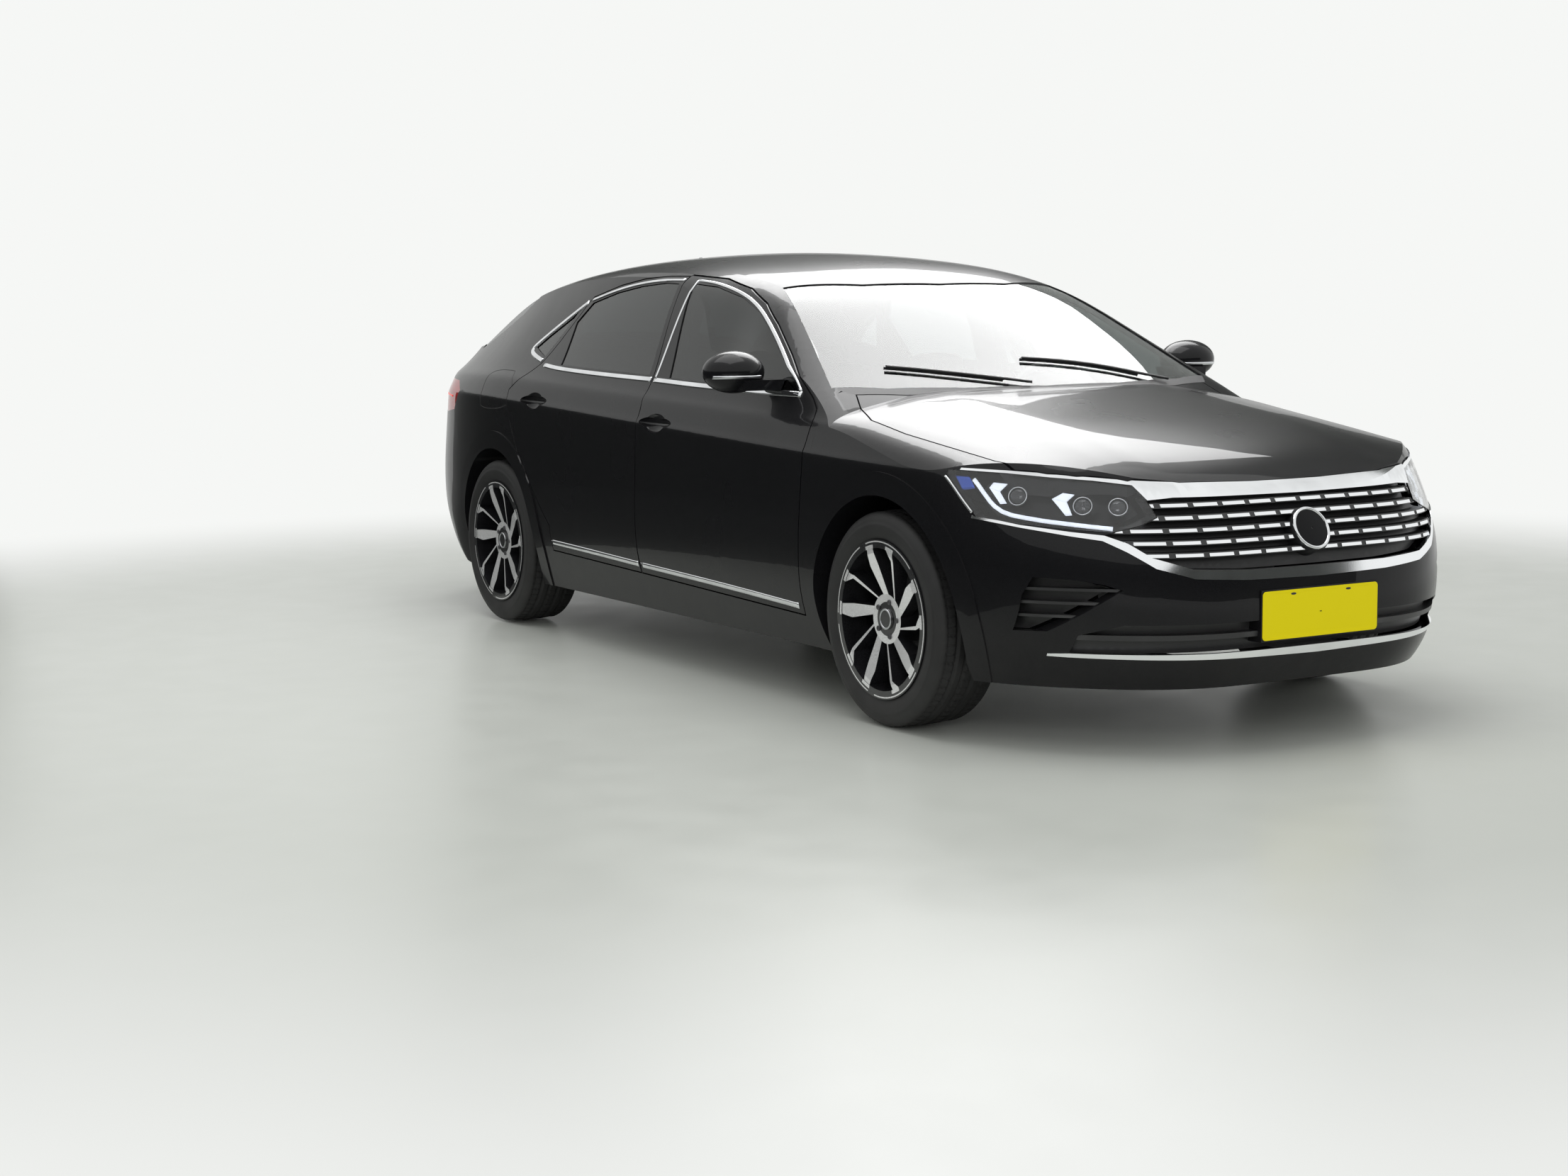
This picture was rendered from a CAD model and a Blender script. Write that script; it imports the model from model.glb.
"""Family saloon in a plain pale studio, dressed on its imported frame."""

import logging
import math
from dataclasses import dataclass
from enum import Enum
from typing import Optional, Sequence, Union

import bpy
import numpy as np
from mathutils import Matrix, Vector
from mathutils.bvhtree import BVHTree


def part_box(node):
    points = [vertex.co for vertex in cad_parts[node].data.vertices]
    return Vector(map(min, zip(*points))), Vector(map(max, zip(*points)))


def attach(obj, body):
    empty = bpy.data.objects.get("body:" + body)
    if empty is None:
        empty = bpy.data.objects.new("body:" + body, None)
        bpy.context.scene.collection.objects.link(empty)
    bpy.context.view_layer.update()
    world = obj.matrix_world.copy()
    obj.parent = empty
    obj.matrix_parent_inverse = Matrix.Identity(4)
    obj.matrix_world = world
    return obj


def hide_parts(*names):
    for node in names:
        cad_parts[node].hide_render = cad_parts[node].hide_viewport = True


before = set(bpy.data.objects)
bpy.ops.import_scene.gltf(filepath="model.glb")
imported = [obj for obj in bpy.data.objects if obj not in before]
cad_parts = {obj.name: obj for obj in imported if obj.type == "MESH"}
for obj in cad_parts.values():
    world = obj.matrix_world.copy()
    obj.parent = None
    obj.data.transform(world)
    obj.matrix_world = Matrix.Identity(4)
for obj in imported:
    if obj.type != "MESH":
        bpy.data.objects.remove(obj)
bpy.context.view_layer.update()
logging.basicConfig(level=logging.INFO, format="%(message)s")
log = logging.getLogger("saloon")
Array = np.ndarray
Mesh = tuple[Array, Array]  # points and quads
Laid = tuple[Array, Array]  # points on a surface and its directions there
Colour = tuple[float, float, float]
Place = tuple[float, float, float]
Shares = Sequence[tuple[float, float]]

FORWARD, REARWARD, LEFTWARD, DOWNWARD = (1, 0, 0), (-1, 0, 0), (0, 1, 0), (0, 0, -1)
PAST_END, PAST_SIDE, PAST_WHEEL, OVER_GLASS, OVER_ROOF = 3.2, 1.6, 1.3, 1.7, 1.6


# Places along the car


@dataclass(frozen=True)
class Proportions:
    """Main sizes of the car in metres, which turn shares into places."""

    wheelbase: float = 2.871
    front_overhang: float = 0.928
    rear_overhang: float = 1.134
    half_width: float = 0.918
    height: float = 1.469

    def station(self, share: float) -> float:
        """Place along the car: -1 tail end, 0 rear axle, 1 front axle, 2 nose end."""
        shift = (self.rear_overhang - self.front_overhang) / 2
        front, rear = shift + self.wheelbase / 2, shift - self.wheelbase / 2
        if share < 0:
            return rear + share * self.rear_overhang
        if share > 1:
            return front + (share - 1) * self.front_overhang
        return rear + share * self.wheelbase

    def side_line(self, shares: Shares) -> Array:
        """Points (x, z) of a side view line, from pairs of station and share of the height."""
        return np.array([(self.station(along), rise * self.height) for along, rise in shares])

    def end_line(self, x: float, side: int, shares: Shares) -> Array:
        """Points past an end of the car, from pairs of share of the half width and share of the height."""
        return np.array([(x, side * across * self.half_width, rise * self.height) for across, rise in shares])


CAR = Proportions()


class Side(Enum):
    """Side of the car and its sign along Y."""

    LEFT = 1
    RIGHT = -1

    @property
    def word(self) -> str:
        """The side's name in node names."""
        return self.name.lower()


# Shader graphs


class Term:
    """A value in a shader graph that takes part in sums like a number."""

    def __init__(self, graph: "Graph", socket: bpy.types.NodeSocket) -> None:
        """Keeps the graph and the socket that puts the value out."""
        self.graph, self.socket = graph, socket

    def do(self, operation: str, other: "Number" = 0.0, clamp: bool = False) -> "Term":
        """Adds a math node with this value first; clamp keeps the result from 0 to 1."""
        return self.graph.maths(operation, self, other, clamp)

    def __add__(self, other: "Number") -> "Term":
        """Sum."""
        return self.do("ADD", other)

    def __sub__(self, other: "Number") -> "Term":
        """Difference."""
        return self.do("SUBTRACT", other)

    def __mul__(self, other: "Number") -> "Term":
        """Product; of two masks, where both hold."""
        return self.do("MULTIPLY", other)

    def __truediv__(self, other: "Number") -> "Term":
        """Quotient."""
        return self.do("DIVIDE", other)

    def __gt__(self, other: "Number") -> "Term":
        """Mask of where this is more than the other."""
        return self.do("GREATER_THAN", other)

    def __lt__(self, other: "Number") -> "Term":
        """Mask of where this is less than the other."""
        return self.do("LESS_THAN", other)

    def __or__(self, other: "Number") -> "Term":
        """The larger; of two masks, where either holds."""
        return self.do("MAXIMUM", other)


Number = Union[Term, float]


class Graph:
    """A shader node tree under construction."""

    def __init__(self, tree: bpy.types.NodeTree) -> None:
        """Keeps the tree."""
        self.tree = tree

    def feed(self, socket: bpy.types.NodeSocket, value: object) -> None:
        """Links a value to an input, or writes a number or a colour into it."""
        if isinstance(value, Term):
            self.tree.links.new(value.socket, socket)
        else:
            socket.default_value = (*value, 1.0) if isinstance(value, tuple) else value

    def node(self, kind: str, inputs: dict[object, object], **values: object) -> bpy.types.Node:
        """Adds a node.

        Args:
            kind: the node's type after ShaderNode.
            inputs: what its inputs get, by name or index.
            **values: the node's own properties.

        Returns:
            The node.
        """
        node = self.tree.nodes.new("ShaderNode" + kind)
        for key, value in values.items():
            setattr(node, key, value)
        for key, value in inputs.items():
            self.feed(node.inputs[key], value)
        return node

    def value(self, kind: str, output: object, inputs: dict[object, object], **values: object) -> Term:
        """Adds a node and gives one of its outputs."""
        return Term(self, self.node(kind, inputs, **values).outputs[output])

    def maths(self, operation: str, first: Number, second: Number = 0.0, clamp: bool = False) -> Term:
        """Adds a math node on two values."""
        return self.value("Math", 0, {0: first, 1: second}, operation=operation, use_clamp=clamp)

    def axes(self, output: str) -> list[Term]:
        """The three parts of a texture coordinate, such as Object or Normal."""
        split = self.node("SeparateXYZ", {0: self.value("TexCoord", output, {})})
        return [Term(self, socket) for socket in split.outputs]

    def seen(self) -> Term:
        """Mask of rays that come from the camera, a mirror or glass."""
        path = self.node("LightPath", {})
        camera, glossy, clear = (Term(self, path.outputs[f"Is {kind} Ray"])
                                 for kind in ("Camera", "Glossy", "Transmission"))
        return camera | glossy | clear


class Group(Graph):
    """A shader node group with number sockets, which puts out masks and values."""

    def __init__(self, name: str, inputs: dict[str, float], *outputs: str) -> None:
        """Makes the group with its inputs, their values and its outputs."""
        super().__init__(bpy.data.node_groups.new(name, "ShaderNodeTree"))
        for key in (*inputs, *outputs):
            way = "INPUT" if key in inputs else "OUTPUT"
            socket = self.tree.interface.new_socket(name=key, in_out=way, socket_type="NodeSocketFloat")
            socket.default_value = inputs.get(key, 0.0)
        self.source = self.tree.nodes.new("NodeGroupInput")
        self.target = self.tree.nodes.new("NodeGroupOutput")

    def given(self, key: str) -> Term:
        """One of the group's inputs."""
        return Term(self, self.source.outputs[key])

    def put(self, key: str, value: Term) -> None:
        """Feeds one of the group's outputs."""
        self.feed(self.target.inputs[key], value)


def grain_group() -> bpy.types.NodeTree:
    """Uneven grain over Object coordinates: a fine noise and a coarse one, spread round a half."""
    group = Group("grain", {"Size": 200.0, "Coarse": 6.0, "Amount": 0.5}, "Fine", "Cloud")
    place = group.value("TexCoord", "Object", {})
    fine, cloud = (group.value("TexNoise", "Fac", {"Vector": place, "Scale": group.given(key), "Detail": detail})
                   for key, detail in (("Size", 3.0), ("Coarse", 2.0)))
    group.put("Fine", fine)
    group.put("Cloud", ((cloud - 0.5) * group.given("Amount")).do("ADD", 0.5, clamp=True))
    return group.tree


def dust_group() -> bpy.types.NodeTree:
    """Thin dust that gathers on faces that look up and low on the car."""
    group = Group("dust", {"Amount": 0.2, "Reach": 0.5}, "Mask")
    place = group.value("TexCoord", "Object", {})
    noise = group.value("TexNoise", "Fac", {"Vector": place, "Scale": 14.0, "Detail": 5.0})
    up = group.axes("Normal")[2] | 0.0
    low = group.maths("SUBTRACT", 1.0, group.axes("Object")[2] / group.given("Reach"), clamp=True)
    group.put("Mask", ((up * 0.5 | low) * noise).do("MULTIPLY", group.given("Amount"), clamp=True))
    return group.tree


def wear_group() -> bpy.types.NodeTree:
    """Mask that is 1 on sharp outward edges, from the surface's pointiness."""
    group = Group("edge_wear", {"Start": 0.52, "Width": 0.06}, "Mask")
    above = group.value("NewGeometry", "Pointiness", {}) - group.given("Start")
    group.put("Mask", above.do("DIVIDE", group.given("Width"), clamp=True))
    return group.tree


GROUPS = {"grain": grain_group(), "dust": dust_group(), "edge_wear": wear_group()}


# Finishes


class Shell(Graph):
    """One material under construction: its graph and its Principled shader."""

    def __init__(self, name: str) -> None:
        """Makes an empty material with a Principled shader."""
        self.material = bpy.data.materials.new(name)
        self.material.use_nodes = True
        super().__init__(self.material.node_tree)
        self.shader = self.tree.nodes["Principled BSDF"]

    def group(self, name: str, **values: float) -> list[Term]:
        """Places a shader group with its own values and gives its outputs."""
        return [Term(self, socket) for socket in self.node("Group", values, node_tree=GROUPS[name]).outputs]

    def grain(self, size: float, coarse: float, amount: float) -> list[Term]:
        """Places the grain and gives its fine and its cloudy value."""
        return self.group("grain", Size=size, Coarse=coarse, Amount=amount)

    def set(self, **values: object) -> None:
        """Feeds the shader's inputs; underscores stand for spaces."""
        for key, value in values.items():
            self.feed(self.shader.inputs[key.replace("_", " ")], value)

    def ramp(self, fac: Term, low: Colour, high: Colour, start: float = 0.3, end: float = 0.7) -> Term:
        """Colour over a value: low at start, high at end."""
        node = self.node("ValToRGB", {"Fac": fac})
        for point, place, colour in zip(node.color_ramp.elements, (start, end), (low, high)):
            point.position, point.color = place, (*colour, 1.0)
        return Term(self, node.outputs["Color"])

    def mix(self, fac: Term, first: Union[Term, Colour], second: Union[Term, Colour]) -> Term:
        """Mixes two colours; 6, 7 and 2 are the node's colour sockets."""
        return self.value("Mix", 2, {0: fac, 6: first, 7: second}, data_type="RGBA")

    def span(self, value: Term, low: float, high: float) -> Term:
        """Stretches a value from 0..1 to low..high."""
        return value * (high - low) + low

    def bump(self, height: Term, strength: float, distance: float) -> None:
        """Feeds a height to the shader's normal."""
        self.set(Normal=self.value("Bump", 0, {"Strength": strength, "Distance": distance, "Height": height}))

    def blend(self, fac: Term, other: Term) -> None:
        """Mixes the surface with another shader by a value."""
        both = self.value("MixShader", 0, {0: fac, 1: Term(self, self.shader.outputs[0]), 2: other})
        self.feed(self.tree.nodes["Material Output"].inputs["Surface"], both)


def shade(colour: Colour, factor: float, lift: float = 0.0) -> Colour:
    """A colour times a factor plus a lift, at most 1."""
    return tuple(min(1.0, value * factor + lift) for value in colour)


@dataclass(frozen=True)
class Finish:
    """A material's recipe."""

    name: str

    def build(self) -> bpy.types.Material:
        """Makes the material."""
        shell = Shell(self.name)
        self.dress(shell)
        return shell.material

    def dress(self, shell: Shell) -> None:
        """Sets up the material's graph."""
        raise NotImplementedError


@dataclass(frozen=True)
class Lacquer(Finish):
    """Gloss paint with fine flakes under a clear coat, faint waviness and a little dust low down."""

    colour: Colour
    flake: Colour
    roughness: float = 0.24
    dust: float = 0.10
    coat: float = 0.32
    dust_colour = (0.16, 0.15, 0.14)

    def dress(self, shell: Shell) -> None:
        """Flakes over the colour, dust over both, and the coat."""
        fine, cloud = shell.grain(1400.0, 3.0, 0.6)
        dust, = shell.group("dust", Amount=self.dust, Reach=0.55)
        flakes = shell.ramp(fine, self.colour, self.flake, 0.45, 0.75)
        shell.set(Base_Color=shell.mix(dust, flakes, self.dust_colour),
                  Roughness=shell.span(cloud, self.roughness, self.roughness + 0.08),
                  Coat_Weight=self.coat, Coat_Roughness=0.012, Coat_IOR=1.5, IOR=1.45, Specular_IOR_Level=0.1)


@dataclass(frozen=True)
class Metal(Finish):
    """Bright or dark metal with fine brushing and soft stains."""

    colour: Colour
    roughness: float = 0.12
    spread: float = 0.10
    size: float = 320.0

    def dress(self, shell: Shell) -> None:
        """Stained colour with lighter edges."""
        fine, cloud = shell.grain(self.size, 9.0, 0.8)
        wear, = shell.group("edge_wear")
        stained = shell.ramp(cloud, shade(self.colour, 0.82), self.colour, 0.3, 0.6)
        shell.set(Base_Color=shell.mix(wear, stained, shade(self.colour, 1.15)), Metallic=1.0,
                  Roughness=shell.span(fine, self.roughness, self.roughness + self.spread))
        shell.bump(fine, 0.03, 0.0005)


@dataclass(frozen=True)
class Moulding(Finish):
    """Moulded plastic or rubber with pitted grain, lighter worn edges and dust."""

    colour: Colour
    roughness: float = 0.5
    size: float = 700.0
    depth: float = 0.25
    dust: float = 0.2
    dust_colour = (0.10, 0.095, 0.09)

    def dress(self, shell: Shell) -> None:
        """Cloudy colour, worn edges and dust over it."""
        fine, cloud = shell.grain(self.size, 7.0, 0.7)
        wear, = shell.group("edge_wear")
        dust, = shell.group("dust", Amount=self.dust, Reach=0.6)
        cloudy = shell.ramp(cloud, self.colour, shade(self.colour, 1.35, 0.01), 0.25, 0.8)
        worn = shell.mix(wear, cloudy, shade(self.colour, 1.7, 0.02))
        shell.set(Base_Color=shell.mix(dust, worn, self.dust_colour),
                  Roughness=shell.span(fine, self.roughness - 0.08, self.roughness + 0.12))
        shell.bump(fine, self.depth, 0.0006)


@dataclass(frozen=True)
class Pane(Finish):
    """Glass with a tint that varies a little and a faint wave."""

    tint: Colour
    roughness: float = 0.0
    clear: float = 1.0
    mirror: float = 0.5

    def dress(self, shell: Shell) -> None:
        """Tinted transmission with a share of mirroring."""
        fine, cloud = shell.grain(60.0, 2.0, 0.5)
        shell.set(Base_Color=shell.ramp(cloud, shade(self.tint, 0.93), self.tint),
                  Roughness=shell.span(fine, self.roughness, self.roughness + 0.01),
                  Transmission_Weight=self.clear, IOR=1.45, Metallic=0.0, Specular_IOR_Level=self.mirror)


@dataclass(frozen=True)
class Hide(Finish):
    """Grained leather or fine cloth with a pebbled height."""

    colour: Colour
    second: Colour
    size: float = 420.0
    depth: float = 0.35
    sheen: float = 0.2

    def dress(self, shell: Shell) -> None:
        """Two tones, sheen and pebbles."""
        place = shell.value("TexCoord", "Object", {})
        pebble = shell.value("TexVoronoi", "Distance", {"Scale": self.size, "Vector": place})
        fine, cloud = shell.grain(self.size * 1.7, 8.0, 0.8)
        shell.set(Base_Color=shell.ramp(cloud, self.colour, self.second, 0.3, 0.75),
                  Roughness=shell.span(fine, 0.42, 0.62), Sheen_Weight=self.sheen, Sheen_Roughness=0.4)
        shell.bump(pebble, self.depth, 0.0008)


@dataclass(frozen=True)
class Glow(Finish):
    """Lit plastic of a lamp: a coloured surface with its own weak light."""

    colour: Colour
    light: Colour
    strength: float = 1.0
    roughness: float = 0.2

    def dress(self, shell: Shell) -> None:
        """Uneven colour and uneven light."""
        fine, cloud = shell.grain(120.0, 30.0, 0.6)
        shell.set(Base_Color=shell.ramp(cloud, shade(self.colour, 0.85), self.colour),
                  Emission_Color=shell.ramp(cloud, shade(self.light, 0.8), self.light),
                  Emission_Strength=self.strength,
                  Roughness=shell.span(fine, self.roughness, self.roughness + 0.1))


@dataclass(frozen=True)
class MachinedRim(Finish):
    """Alloy rim: turned bright spoke faces and thin edge arcs, black pockets, hub and barrel."""

    face: Colour = (0.88, 0.88, 0.89)
    pocket: Colour = (0.008, 0.008, 0.009)
    front_axle: float = 1.5385
    rear_axle: float = -1.3325
    hub: float = 0.330
    spokes: tuple[float, float] = (0.052, 0.2275)
    arc: tuple[float, float] = (0.2345, 0.2385)
    arc_share: float = 0.88
    ring: float = 0.203
    wide_share: float = 0.135
    thin_share: float = 0.455
    thin_half: float = 0.075
    first: float = 109.0
    pitch: float = 72.0
    outward: float = 0.62
    reach: float = 0.855

    def dress(self, shell: Shell) -> None:
        """Bright where a face looks outwards between two radii of its own wheel."""
        x, y, z = shell.axes("Object")
        side = y.do("SIGN")
        across = x - ((x > 0.0) * (self.front_axle - self.rear_axle) + self.rear_axle)
        rise = z - self.hub
        radius = (across * across + rise * rise).do("SQRT")
        turn = rise.do("ARCTAN2", across * (side * -1.0))
        share = ((turn * -math.degrees(1) + (self.first + 360.0)) / self.pitch).do("FRACT")
        arc = (radius > self.arc[0]) * (radius < self.arc[1]) * (share < self.arc_share)
        facing = (shell.axes("Normal")[1] * side > self.outward) * (y.do("ABSOLUTE") > self.reach)
        wide = (share < self.wide_share) | (share > 1 - self.wide_share / 9)
        thin = (share - self.thin_share).do("ABSOLUTE") < self.thin_half
        spoke = (radius > self.spokes[0]) * (radius < self.spokes[1]) * ((radius < self.ring) | (wide | thin))
        turned = facing * (arc | spoke)
        fine, cloud = shell.grain(900.0, 12.0, 0.7)
        dark = shell.ramp(cloud, self.pocket, shade(self.pocket, 2.2))
        bright = shell.ramp(fine, shade(self.face, 0.9), self.face)
        shell.set(Base_Color=shell.mix(turned, dark, bright), Metallic=turned * 0.5,
                  Roughness=shell.span(fine, 0.22, 0.32), Coat_Weight=0.6, Coat_Roughness=0.05)
        shell.bump(fine, 0.04, 0.0004)


@dataclass(frozen=True)
class StudioFloor(Finish):
    """Pale satin floor, a little uneven in tone, that fades into the pale backdrop far from the car."""

    colour: Colour = (0.60, 0.62, 0.58)
    backdrop: Colour = (0.92, 0.93, 0.915)
    near: float = 3.4
    far: float = 6.5

    def dress(self, shell: Shell) -> None:
        """Far off, camera, mirror and glass rays see the backdrop: fade = share ** 2 * (3 - 2 * share)."""
        fine, cloud = shell.grain(5.0, 0.5, 0.7)
        shell.set(Base_Color=shell.ramp(cloud, shade(self.colour, 0.95), self.colour, 0.25, 0.75),
                  Roughness=shell.span(fine, 0.26, 0.38), Specular_IOR_Level=0.4)
        place = shell.value("TexCoord", "Object", {})
        run = shell.value("VectorMath", "Value", {0: place}, operation="LENGTH")
        share = (run - self.near).do("DIVIDE", self.far - self.near, clamp=True)
        fade = share * share * shell.maths("SUBTRACT", 3.0, share * 2.0)
        shell.blend(fade * shell.seen(), shell.value("Emission", 0, {"Color": self.backdrop}))


@dataclass(frozen=True)
class Flag(Finish):
    """Even dark panel that mirror rays see beside the car, open from behind."""

    colour: Colour = (0.055, 0.057, 0.055)

    def dress(self, shell: Shell) -> None:
        """Dull front; the back lets rays through."""
        _, cloud = shell.grain(20.0, 0.6, 0.8)
        shell.set(Base_Color=shell.ramp(cloud, self.colour, shade(self.colour, 1.5)),
                  Roughness=0.9, Specular_IOR_Level=0.1)
        shell.blend(shell.value("NewGeometry", "Backfacing", {}), shell.value("BsdfTransparent", 0, {}))


FINISHES = {
    "paint": Lacquer("gloss_black_paint", (0.0035, 0.0035, 0.004), (0.02, 0.02, 0.024)),
    "satin_black": Moulding("satin_black_trim", (0.012, 0.012, 0.013), 0.36, 900.0, 0.12, 0.12),
    "housing": Lacquer("lamp_housing_gloss", (0.005, 0.005, 0.006), (0.007, 0.007, 0.008), 0.22, 0.0, 0.2),
    "roundel": Lacquer("roundel_gloss", (0.004, 0.004, 0.005), (0.006, 0.006, 0.007), 0.2, 0.0, 0.1),
    "plastic": Moulding("black_plastic", (0.016, 0.016, 0.017), 0.5, 700.0, 0.3, 0.25),
    "chrome": Metal("bright_trim", (0.80, 0.81, 0.83), 0.06, 0.06),
    "satin_metal": Metal("satin_silver_trim", (0.62, 0.63, 0.65), 0.24, 0.12),
    "steel": Metal("underbody_steel", (0.16, 0.16, 0.165), 0.42, 0.2, 160.0),
    "clear_glass": Pane("clear_glass", (0.93, 0.96, 0.95)),
    "dark_glass": Pane("dark_glass", (0.07, 0.085, 0.085), 0.0, 1.0, 0.22),
    "lamp_cover": Pane("lamp_cover", (0.97, 0.98, 1.0)),
    "red_lamp": Pane("red_lamp", (0.62, 0.012, 0.015), 0.03, 0.55),
    "rubber": Moulding("tyre_rubber", (0.008, 0.008, 0.0085), 0.62, 1500.0, 0.35, 0.2),
    "rim": MachinedRim("machined_rim"),
    "seat": Hide("seat_leather", (0.045, 0.040, 0.036), (0.075, 0.067, 0.060)),
    "dash": Moulding("dash_skin", (0.022, 0.022, 0.023), 0.55, 520.0, 0.5, 0.05),
    "guide": Glow("light_guide", (0.80, 0.84, 0.90), (0.80, 0.86, 0.95), 0.75),
    "tail_guide": Glow("tail_guide", (0.80, 0.05, 0.04), (0.90, 0.06, 0.04), 0.35),
    "plate": Lacquer("plate_yellow", (0.88, 0.74, 0.0), (0.92, 0.80, 0.02), 0.4, 0.03, 0.1),
    "eye": Lacquer("lamp_eye_gloss", (0.012, 0.013, 0.015), (0.05, 0.052, 0.06), 0.08, 0.0, 1.0),
    "blue_film": Metal("blue_reflector", (0.05, 0.10, 0.42), 0.18, 0.1),
    "carpet": Hide("cabin_carpet", (0.02, 0.02, 0.02), (0.045, 0.045, 0.045), 900.0, 0.6, 0.5),
    "floor": StudioFloor("pale_floor"),
    "flag": Flag("black_flag"),
    "grey_flag": Flag("grey_flag", (0.20, 0.205, 0.20)),
}
MATERIALS: dict[str, bpy.types.Material] = {key: finish.build() for key, finish in FINISHES.items()}


# Meshes worked out as whole arrays


def angles(count: int) -> Array:
    """Even angles once round."""
    return np.linspace(0, 2 * math.pi, count, endpoint=False)


def circle(count: int, radius: float = 1.0) -> Array:
    """Points on a circle as rows of cos and sin."""
    return np.stack([radius * np.cos(angles(count)), radius * np.sin(angles(count))], axis=-1)


def grid_faces(rows: int, columns: int, wrap_rows: bool, wrap_columns: bool) -> Array:
    """Quads over a grid of rows by columns of points, closed round either way where asked."""
    row = np.arange(rows if wrap_rows else rows - 1)[:, None]
    column = np.arange(columns if wrap_columns else columns - 1)[None, :]
    next_row, next_column = (row + 1) % rows, (column + 1) % columns
    quads = np.stack([row * columns + column, row * columns + next_column,
                      next_row * columns + next_column, next_row * columns + column], axis=-1)
    return quads.reshape(-1, 4)


def inside_out(mesh: Mesh, flip: bool = True) -> Mesh:
    """Turns the faces round where asked."""
    return mesh[0], mesh[1][:, ::-1] if flip else mesh[1]


def join(parts: Sequence[Mesh]) -> Mesh:
    """Joins meshes into one."""
    offset, points, quads = 0, [], []
    for place, faces in parts:
        points.append(place.reshape(-1, 3))
        quads.append(faces + offset)
        offset += len(points[-1])
    return np.concatenate(points), np.concatenate(quads)


def sweep(path: Array, up: Array, profile: Array, closed: bool = False) -> Mesh:
    """Carries a closed profile along a path: point = path + across * side + rise * up.

    Args:
        path: n points; a point that repeats the one before it is left out.
        up: n directions away from the surface that carries the piece.
        profile: m pairs of across and rise.
        closed: joins the path's end to its start; open ends are capped.

    Returns:
        Points and quads.
    """
    apart = np.concatenate([[True], np.linalg.norm(np.diff(path, axis=0), axis=1) > 1e-6])
    path, up = path[apart], up[apart]
    along = np.roll(path, -1, 0) - np.roll(path, 1, 0)
    if not closed:
        along[0], along[-1] = path[1] - path[0], path[-1] - path[-2]
    along /= np.linalg.norm(along, axis=1)[:, None]
    side = np.cross(along, up)
    side /= np.linalg.norm(side, axis=1)[:, None]
    up = np.cross(side, along)
    points = path[:, None] + profile[None, :, :1] * side[:, None] + profile[None, :, 1:2] * up[:, None]
    quads = grid_faces(len(path), len(profile), closed, True)
    if closed:
        return points.reshape(-1, 3), quads
    count, half = len(profile), len(profile) // 2
    low = np.arange(half - 1)
    cap = np.stack([low, (count - 1 - low) % count, (count - 2 - low) % count, low + 1], axis=-1)
    last = (len(path) - 1) * count
    return points.reshape(-1, 3), np.concatenate([quads, cap, cap[:, ::-1] + last])


def strip_profile(width: float, rise: float, sink: float = 0.002) -> Array:
    """Rounded strip section: across = width/2 * cos t, up = rise * sin t to a power, closed below the surface."""
    turn = np.linspace(0, math.pi, 8)
    top = np.stack([np.cos(turn) * width / 2, rise * np.sin(turn) ** 0.6], axis=-1)
    return np.concatenate([top, np.stack([top[::-1, 0], np.full(len(top), -sink)], axis=-1)])


def revolve(radius: Array, across: Array, centre: Array, steps: int, shift: Union[Array, float] = 0,
            closed: bool = True) -> Mesh:
    """Turns a profile about the Y line through a centre.

    Point = centre + (reach * cos t, across, reach * sin t), with reach = radius + shift.

    Args:
        radius: m radii.
        across: m places along Y.
        centre: the axis point.
        steps: number of turns of the profile.
        shift: steps by m changes of radius.
        closed: joins the profile's end to its start.

    Returns:
        Points and quads.
    """
    turn = angles(steps)[:, None]
    reach = radius[None, :] + shift
    points = np.stack([centre[0] + reach * np.cos(turn), centre[1] + across[None, :] + 0 * turn,
                       centre[2] + reach * np.sin(turn)], axis=-1)
    return points.reshape(-1, 3), grid_faces(steps, len(radius), True, closed)


def turned_about(centre: Array, axis: Array, section: Array, steps: int) -> Mesh:
    """Turns a closed section about an axis.

    Args:
        centre: point on the axis.
        axis: its direction, outwards.
        section: pairs of radius and height along the axis, in order from the top to the bottom.
        steps: number of turns.

    Returns:
        Points and quads.
    """
    axis = axis / np.linalg.norm(axis)
    first = np.cross(axis, (0.0, 0.0, 1.0))
    first /= np.linalg.norm(first)
    turn = angles(steps)[:, None, None]
    ring = np.cos(turn) * first + np.sin(turn) * np.cross(axis, first)
    points = centre + ring * section[None, :, :1] + axis * section[None, :, 1:]
    return points.reshape(-1, 3), grid_faces(steps, len(section), True, True)[:, ::-1]


def resample(points: Array, count: int, closed: bool = False) -> Array:
    """Even points along a line of points."""
    line = np.vstack([points, points[:1]]) if closed else points
    run = np.concatenate([[0], np.cumsum(np.linalg.norm(np.diff(line, axis=0), axis=1))])
    places = np.linspace(0, run[-1], count, endpoint=not closed)
    return np.stack([np.interp(places, run, line[:, axis]) for axis in range(line.shape[1])], axis=-1)


def rounded(points: Array, closed: bool = False) -> Array:
    """Cuts a line's corners twice: each pass puts points at a quarter and three quarters of each run."""
    for _ in range(2):
        after = np.roll(points, -1, 0) if closed else points[1:]
        before = points if closed else points[:-1]
        cut = np.stack([before * 0.75 + after * 0.25, before * 0.25 + after * 0.75], axis=1)
        cut = cut.reshape(-1, points.shape[1])
        points = cut if closed else np.vstack([points[:1], cut, points[-1:]])
    return points


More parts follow.
